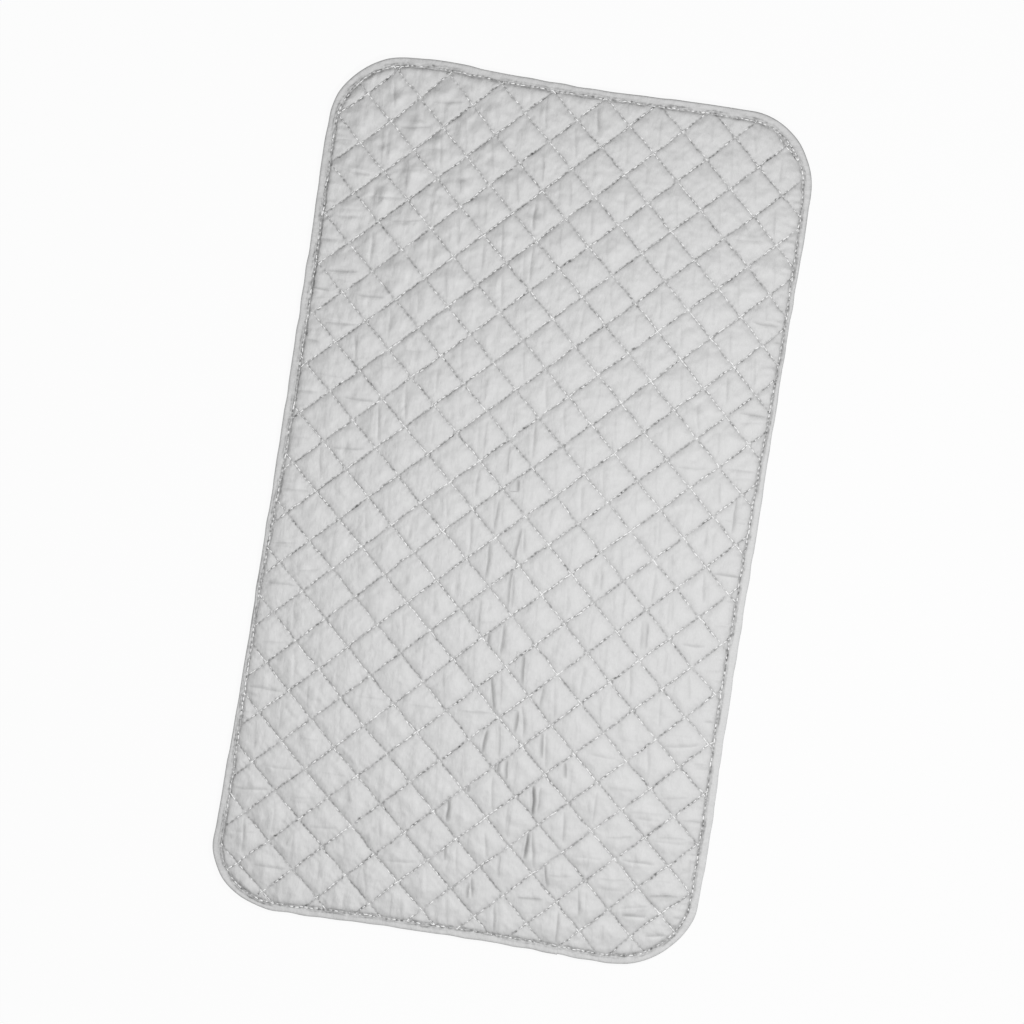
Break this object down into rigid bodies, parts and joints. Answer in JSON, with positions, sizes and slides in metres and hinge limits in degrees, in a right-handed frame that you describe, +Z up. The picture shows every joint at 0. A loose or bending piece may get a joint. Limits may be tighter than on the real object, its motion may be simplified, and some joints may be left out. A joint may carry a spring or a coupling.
{
  "type": "ironing pad",
  "caption": "Flat quilted ironing pad: diamond-stitched cloth cover over wadding and felt, with rounded corners and a folded tape sewn round the edge. Lies on a table to iron on.",
  "frame": {"origin": "middle of the pad's outline, at the level of the surface that it lies on", "axes": "+X across the short side, +Y along the long side towards the top of the picture, +Z up out of the quilted face"},
  "size_m": [0.48, 0.85, 0.0061],
  "materials": {
    "cover_cloth": "silver-grey plain-weave cotton, matt with a slight metallic sheen",
    "wadding": "white polyester fleece",
    "film": "thin metallised film, bright",
    "felt": "needled heat-insulating felt, off-white",
    "backing_cloth": "plain-weave grey lining cloth, matt",
    "binding_tape": "light grey bias tape, fine weave, matt",
    "thread": "light grey spun polyester thread"
  },
  "bodies": {
    "root": {"backing_cloth": "backing_cloth", "insulating_felt": "felt", "reflective_film": "film", "wadding": "wadding", "top_cover": "cover_cloth", "edge_binding": "binding_tape", "seam_needle_thread": "thread", "seam_bobbin_thread": "thread"}
  },
  "joints": []
}
